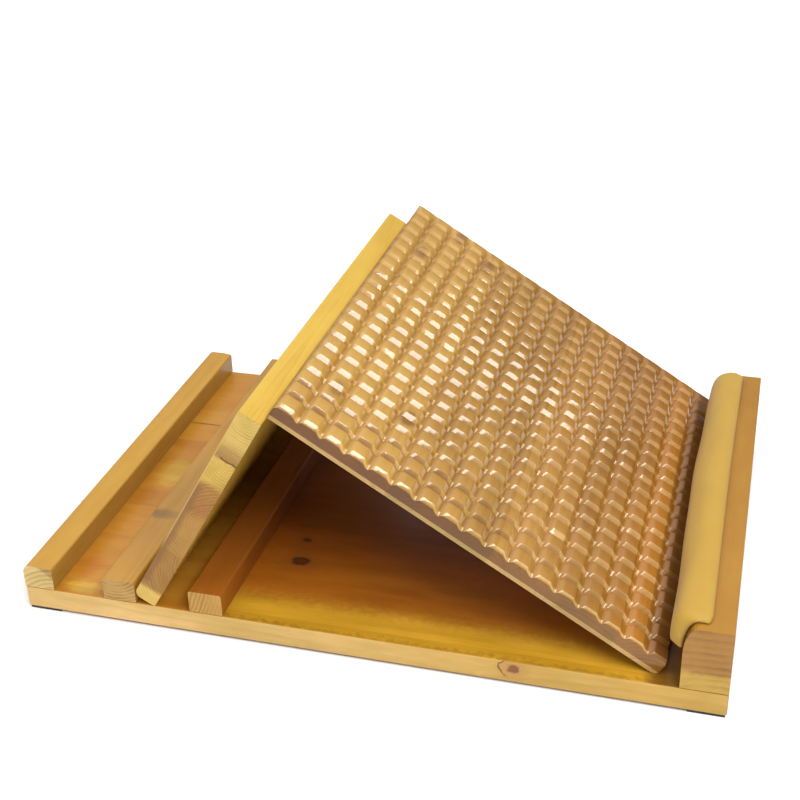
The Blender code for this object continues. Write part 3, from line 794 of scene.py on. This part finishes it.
def base_finish(g, colour, at):
    """Painted light and shade under the tread: a lit gold band by the near edge, redder painted shade farther in and
    darker still deeper in, and painted shade beside the heel rail; both long edges are paler.
    """
    along, side = at["along"], at["side"]
    inwards = g.sum(side, g.times(at["edge"], 14.0))
    under = g.smooth(along, -120, -90)
    # painted light by the near edge under the tread, then painted shade: redder farther in, darker deeper in
    painted_light_gold = g.times(g.smooth(inwards, -168, -146, 0.9, 0.0), under)
    red = g.times(g.smooth(inwards, -162, -138, 0.0, 0.8), under)
    painted_shade_deep = g.times(g.smooth(inwards, -130, -60, 0.0, 0.65), under)
    arris = g.times(g.smooth(inwards, -184, -180, 0.65, 0.0), under)
    colour = g.mix(painted_light_gold, colour, figured(g, paint(0.577, 0.31, 0.022), at))
    colour = g.mix(red, colour, figured(g, paint(0.40, 0.11, 0.007), at))
    colour = g.mix(painted_shade_deep, colour, figured(g, paint(0.26, 0.062, 0.006), at))
    colour = g.mix(arris, colour, figured(g, paint(0.34, 0.16, 0.015), at))
    # painted shade for the gap beside the heel rail; it reaches the panel's heel-end face as well
    shaded = g.smooth(along, 190, 202, 0.0, 0.8)
    colour = g.mix(shaded, colour, figured(g, paint(0.12, 0.036, 0.005), at))
    pale = g.mix(g.smooth(along, -210, 230), paint(0.76, 0.49, 0.20), paint(0.58, 0.35, 0.09))
    pale = figured(g, pale, at)
    from_knot = g.over(g.less(along, EDGE_KNOT[0]), 5.5)
    up_knot = g.over(g.less(at["height"], EDGE_KNOT[1]), 4.2)
    far = g.distance(from_knot, up_knot)
    far = g.sum(far, g.times(at["edge"], 0.9))
    pale = g.mix(g.smooth(far, 0.9, 2.6, 0.5, 0.0), pale, paint(0.42, 0.20, 0.06))
    pale = g.mix(g.smooth(far, 0.6, 1.0, 0.85, 0.0), pale, paint(0.17, 0.055, 0.025))
    split = g.smooth(g.math("ABSOLUTE", g.less(far, 1.75)), 0.05, 0.16, 1.0, 0.0)
    split = g.times(split, g.smooth(from_knot, -1.2, -0.4, 0.85, 0.0))
    pale = g.mix(split, pale, paint(0.12, 0.045, 0.015))
    return g.mix(long_edge(g, at), colour, pale)


def strip_finish(g, colour, at):
    """The inner strip is darker and redder with painted shade; the ends show curved rings."""
    # painted shade on the inner strip, reddened like the trough's orange bounce light
    inner = g.smooth(at["side"], -150, -130)
    colour = g.mix(g.times(inner, 0.85), colour, figured(g, paint(0.30, 0.08, 0.007), at))
    ends = g.mix(inner, paint(0.45, 0.26, 0.075), paint(0.47, 0.26, 0.055))
    return g.mix(at["end"], colour, lined(g, at, ends, paint(0.227, 0.11, 0.028), 0.9))


def toe_finish(g, colour, at):
    """Cream ends with faint arcs, mauve by the inner top corner; the inner face is duller."""
    inner = g.smooth(at["normal"][0], 0.5, 0.9, 0.0, 0.75)
    colour = g.mix(inner, colour, figured(g, paint(0.319, 0.17, 0.037), at))
    ends = lined(g, at, paint(0.63, 0.45, 0.19), paint(0.412, 0.25, 0.06), 0.6)
    corner = g.sum(g.times(at["side"], 0.8), at["height"])
    mauve = g.smooth(corner, -154, -149, 0.0, 0.75)
    ends = g.mix(mauve, ends, lined(g, at, paint(0.34, 0.2, 0.06), paint(0.185, 0.1, 0.035), 1.0))
    return g.mix(at["end"], colour, ends)


def heel_finish(g, colour, at):
    """The ends are purple-brown above and pale below; the inner face is dark with painted shade."""
    low = g.smooth(g.sum(at["height"], g.times(at["edge"], 5.0)), 30, 36, 1.0, 0.0)
    ends = g.mix(low, paint(0.319, 0.155, 0.033), paint(0.433, 0.265, 0.048))
    # painted shade on the inner face, which faces the dark gap beside the tread's lower end
    inner = g.smooth(at["normal"][0], -0.95, -0.6, 0.75, 0.0)
    colour = g.mix(inner, colour, figured(g, paint(0.12, 0.038, 0.006), at))
    strength = g.less(0.75, g.times(low, 0.65))
    return g.mix(at["end"], colour, lined(g, at, ends, paint(0.175, 0.07, 0.018), strength))


def prop_finish(g, colour, at):
    """The near end shows six staves, each with its own tint; the outer arris is lighter."""
    length = (PROP_HIGH.x - PROP_LOW.x) / MM
    share = g.over(g.less(at["side"], PROP_LOW.x / MM), length)
    bent = g.sum(share, g.times(at["edge"], 0.012))
    stops = (
        (0.0, (0.60, 0.39, 0.09)), (0.055, (0.60, 0.39, 0.09)), (0.075, (0.36, 0.175, 0.04)),
        (0.26, (0.38, 0.18, 0.04)), (0.30, (0.38, 0.20, 0.04)), (0.48, (0.38, 0.19, 0.038)),
        (0.52, (0.33, 0.14, 0.035)), (0.64, (0.38, 0.18, 0.04)), (0.665, (0.55, 0.35, 0.07)),
        (0.775, (0.55, 0.35, 0.07)), (0.79, (0.30, 0.16, 0.04)), (0.83, (0.38, 0.23, 0.06)),
        (0.87, (0.56, 0.38, 0.10)), (1.0, (0.60, 0.41, 0.11)),
    )
    tints = g.ramp(bent, *[(position, paint(*tint)) for position, tint in stops])
    ends = g.mix(1.0, tints, at["figure"], "MULTIPLY")
    strong = g.times(g.smooth(share, 0.055, 0.08), g.smooth(share, 0.64, 0.67, 1.0, 0.35))
    rings = g.times(g.times(at["late"], strong), 0.5, clamp=True)
    ends = g.mix(rings, ends, paint(0.175, 0.09, 0.02))
    height, top = at["height"], PROP_HIGH.z / MM
    outer = g.smooth(g.sum(height, g.times(at["edge"], 3.0)), top - 7, top - 2)
    second = g.times(g.smooth(share, 0.07, 0.1), g.smooth(share, 0.6, 0.66, 0.75, 0.0))
    ends = g.mix(g.times(outer, second), ends, paint(0.206, 0.1, 0.03))
    from_crack = g.math("ABSOLUTE", g.less(bent, 0.783))
    crack = g.times(g.smooth(from_crack, 0.002, 0.006, 0.9, 0.0), g.smooth(height, top - 6, top - 3, 1.0, 0.2))
    ends = g.mix(crack, ends, paint(0.0927, 0.04, 0.01))
    arris = g.times(g.smooth(height, top - 1.1, top - 0.5), g.smooth(share, 0.25, 0.35))
    ends = g.mix(g.times(arris, 0.7), ends, paint(0.597, 0.36, 0.1))
    return g.mix(at["end"], colour, ends)


def tread_finish(g, colour, at):
    """Golden at its upper near corner and browner down to the far one, with paler facets as a painted highlight,
    darker hollows, painted shade on the last column by the pad, and two-ply edges.
    """
    drift = g.sum(g.times(at["side"], 0.0028), g.times(at["along"], 0.0004))
    low = g.smooth(g.sum(drift, g.times(at["edge"], 0.08)), -0.75, 0.0, 0.0, 0.85)
    colour = g.mix(low, colour, figured(g, paint(0.25, 0.093, 0.012), at))
    top = TREAD_HIGH.z / MM
    # darker in the hollows: partly finish build-up, partly painted shade
    hollow = g.smooth(at["height"], top - 2.9, top - 0.8, 0.5, 0.0)
    colour = g.mix(hollow, colour, figured(g, paint(0.27, 0.11, 0.014), at))
    # painted highlight: near-facing facets painted pale cream where the key light's glints fall short
    nearwards = g.times(at["normal"][1], -1.0)
    facet = g.times(g.smooth(nearwards, 0.45, 0.66), g.smooth(nearwards, 0.86, 0.95, 1.0, 0.0))
    facet = g.times(facet, g.smooth(at["along"], -120, 60, 0.46, 0.26))
    redder = g.smooth(g.sum(at["side"], g.times(at["edge"], 8.0)), -62, -22, 0.0, 0.45)
    colour = g.mix(redder, colour, figured(g, paint(0.35, 0.135, 0.013), at))
    colour = g.mix(facet, colour, figured(g, paint(0.78, 0.53, 0.22), at))
    # painted shade: the last column beside the heel pad, as in the pad's shadow
    shaded = g.smooth(at["side"], -15, -5, 0.0, 0.75)
    colour = g.mix(shaded, colour, figured(g, paint(0.10, 0.034, 0.007), at))
    band = g.mix(g.smooth(at["side"], -220, -20), paint(0.15, 0.05, 0.002), paint(0.225, 0.095, 0.012))
    lower_ply = g.smooth(at["height"], -0.6, -0.2, 1.0, 0.0)
    upper_ply = lined(g, at, band, paint(0.12, 0.05, 0.008), 0.2)
    edge = g.mix(lower_ply, upper_ply, figured(g, paint(0.43, 0.265, 0.085), at))
    colour = g.mix(long_edge(g, at), colour, edge)
    upper_end = g.smooth(at["normal"][0], -0.9, -0.6, 0.8, 0.0)
    return g.mix(upper_end, colour, figured(g, paint(0.453, 0.25, 0.06), at))


EDGE_KNOT = (109.2, 13.0)  # along the base panel's near edge, and up

base_wood = wood(
    "base_wood", paint(0.50, 0.265, 0.032), paint(0.43, 0.185, 0.017), paint(0.288, 0.095, 0.008), grain=0, across=1,
    stave=58.0, stave_start=-185.0, tone=0.45, pith=(0, -34), spread=(34, 18), ring=5.0, line=0.13, fibre=0.25,
    cloudy=0.9, knots=((-64.0, -109.0, 5.2), (-68.0, -82.0, 2.6)),
    spots=(
        (-204.0, -14.0, 17.0, 24.0, paint(0.567, 0.33, 0.04), 0.8),
        (-214.0, -150.0, 12.0, 17.0, paint(0.40, 0.125, 0.008), 0.65),
        (-213.0, -52.0, 9.0, 14.0, paint(0.42, 0.145, 0.01), 0.5),
        (-211.0, 66.5, 16.0, 1.1, paint(0.165, 0.05, 0.0075), 0.85),
        (-206.0, -176.0, 16.0, 8.0, paint(0.567, 0.34, 0.045), 0.75),
        (-70.0, -98.0, 1.6, 1.4, paint(0.124, 0.03, 0.005), 0.9),
    ),
    finish=base_finish,
)
strip_wood = wood(
    "strip_wood", paint(0.464, 0.26, 0.045), paint(0.397, 0.2, 0.031), paint(0.247, 0.11, 0.02),
    pith=(-178, 52), ring=2.7, line=0.2, fibre=0.25, end_line=0.6,
    spots=(
        (-98.0, -177.0, 7.0, 13.0, paint(0.175, 0.095, 0.035), 0.85),
        (-60.0, -172.0, 60.0, 14.0, paint(0.35, 0.19, 0.045), 0.5),
    ),
    finish=strip_finish,
)
toe_wood = wood(
    "toe_rail_wood", paint(0.49, 0.285, 0.038), paint(0.425, 0.222, 0.023), paint(0.30, 0.13, 0.014),
    pith=(-215, -30), ring=3.6, line=0.2, fibre=0.25, end_line=0.4, finish=toe_finish,
)
heel_wood = wood(
    "heel_rail_wood", paint(0.39, 0.20, 0.028), paint(0.315, 0.145, 0.014), paint(0.21, 0.075, 0.008),
    pith=(236, -30), ring=5.6, line=0.2, fibre=0.25, end_line=0.5, finish=heel_finish,
)
PROP_CUTS = (0, 0.065, 0.28, 0.50, 0.655, 0.783, 1.0)  # the staves' edges, as shares of the prop's length
prop_cuts = [PROP_LOW.x + share * (PROP_HIGH.x - PROP_LOW.x) for share in PROP_CUTS]
prop_wood = wood(
    "prop_wood", paint(0.639, 0.44, 0.08), paint(0.561, 0.355, 0.05), paint(0.412, 0.22, 0.025), turn=PROP_TURN,
    origin=PROP_PIVOT, cuts=[cut / MM for cut in prop_cuts], pith=(0, -6), spread=(34, 22), ring=2.3, line=0.25,
    fibre=0.3, tone=0.25, end_line=0.4, finish=prop_finish,
)
tread_wood = wood(
    "tread_wood", paint(0.51, 0.31, 0.067), paint(0.435, 0.24, 0.046), paint(0.265, 0.118, 0.018), stave=43.0,
    stave_start=-297.0, tone=0.5, pith=(0, -40), ring=3.2, line=0.16, fibre=0.35, cloudy=0.8,
    spots=(
        (-104.8, -219.0, 12.0, 7.0, paint(0.144, 0.05, 0.01), 0.75),
        (-121.9, -269.7, 12.0, 6.0, paint(0.175, 0.075, 0.015), 0.6),
        (112.0, -274.0, 13.0, 6.0, paint(0.206, 0.09, 0.03), 0.7),
        (175.0, -252.0, 12.0, 6.0, paint(0.196, 0.08, 0.025), 0.7),
        (158.0, -220.0, 13.0, 6.0, paint(0.196, 0.075, 0.025), 0.75),
        (-80.0, -76.0, 26.0, 10.0, paint(0.185, 0.075, 0.015), 0.55),
        (151.0, -73.0, 22.0, 12.0, paint(0.196, 0.08, 0.018), 0.5),
        (-150.0, -8.0, 30.0, 12.0, paint(0.206, 0.09, 0.025), 0.5),
    ),
    finish=tread_finish, roughness=0.3, shine=0.05, coat=0.85, coat_roughness=0.07,
)
dress(base_wood, "base_panel")
dress(strip_wood, "stop_strip_outer", "stop_strip_inner")
dress(toe_wood, "toe_rail")
dress(heel_wood, "heel_rail")
dress(prop_wood, "prop_board")
tread.data.materials.clear()
tread.data.materials.append(tread_wood)


def fabric():
    """Matt khaki cover with a fine grit and faint creases."""
    g = Graph("pad_cover")
    at = g.millimetres()
    cloud = g.noise(at, 0.03, 3.0, 0.6)
    grit = g.noise(at, 2.2, 3.0, 0.7)
    crease = g.noise(at, 0.16, 2.0, 0.5)
    shade = g.sum(g.times(cloud, 0.8), g.times(grit, 0.2))
    colour = g.ramp(shade, (0.2, paint(0.428, 0.253, 0.0249)), (0.8, paint(0.381, 0.217, 0.0178)))
    g.put(g.shader.inputs["Base Color"], colour)
    g.put(g.shader.inputs["Roughness"], g.smooth(grit, 0.3, 0.7, 0.55, 0.72))
    g.shader.inputs["Sheen Weight"].default_value = 0.12
    heights = g.sum(g.times(grit, 0.25), cloud, g.times(crease, 0.5))
    g.put(g.shader.inputs["Normal"], g.bump(heights, 0.3, 0.0006))
    return g.material


pad.data.materials.clear()
pad.data.materials.append(fabric())


def steel(name, colour, roughness):
    """Brushed along Y, with darker stains."""
    g = Graph(name)
    at = g.millimetres()
    brushed = g.noise(g.add("ShaderNodeMapping", {"Vector": at, "Scale": (2.5, 0.15, 2.5)}).outputs[0], 1.0, 3.0, 0.7)
    stain = g.noise(at, 0.12, 3.0)
    shaded = g.mix(g.smooth(stain, 0.35, 0.75, 0.0, 0.5), colour, scaled(colour, 0.55))
    g.put(g.shader.inputs["Base Color"], shaded)
    g.shader.inputs["Metallic"].default_value = 1.0
    g.put(g.shader.inputs["Roughness"], g.smooth(brushed, 0.3, 0.7, roughness - 0.08, roughness + 0.12))
    g.put(g.shader.inputs["Normal"], g.bump(brushed, 0.15, 0.0002))
    return g.material


def rubber():
    """Near-black, matt and gritty."""
    g = Graph("rubber")
    at = g.millimetres()
    grit = g.noise(at, 1.5, 4.0, 0.7)
    colour = g.ramp(grit, (0.0, paint(0.012, 0.012, 0.013)), (1.0, paint(0.04, 0.04, 0.042)))
    g.put(g.shader.inputs["Base Color"], colour)
    g.put(g.shader.inputs["Roughness"], g.smooth(grit, 0.3, 0.7, 0.65, 0.85))
    g.put(g.shader.inputs["Normal"], g.bump(grit, 0.25, 0.0003))
    return g.material


hinge_steel = steel("hinge_steel", paint(0.36, 0.36, 0.34), 0.32)
screw_steel = steel("screw_steel", paint(0.33, 0.30, 0.23), 0.38)
foot_rubber = rubber()
for name in NODES:
    if "_screw_" in name:
        dress(screw_steel, name)
    elif "hinge" in name:
        dress(hinge_steel, name)
    elif name.startswith("foot"):
        dress(foot_rubber, name)

# --- Riding ------------------------------------------------------------------------------------

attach(tread, "tread")
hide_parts("tread_board")

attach(pad, "base")
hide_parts("heel_pad")
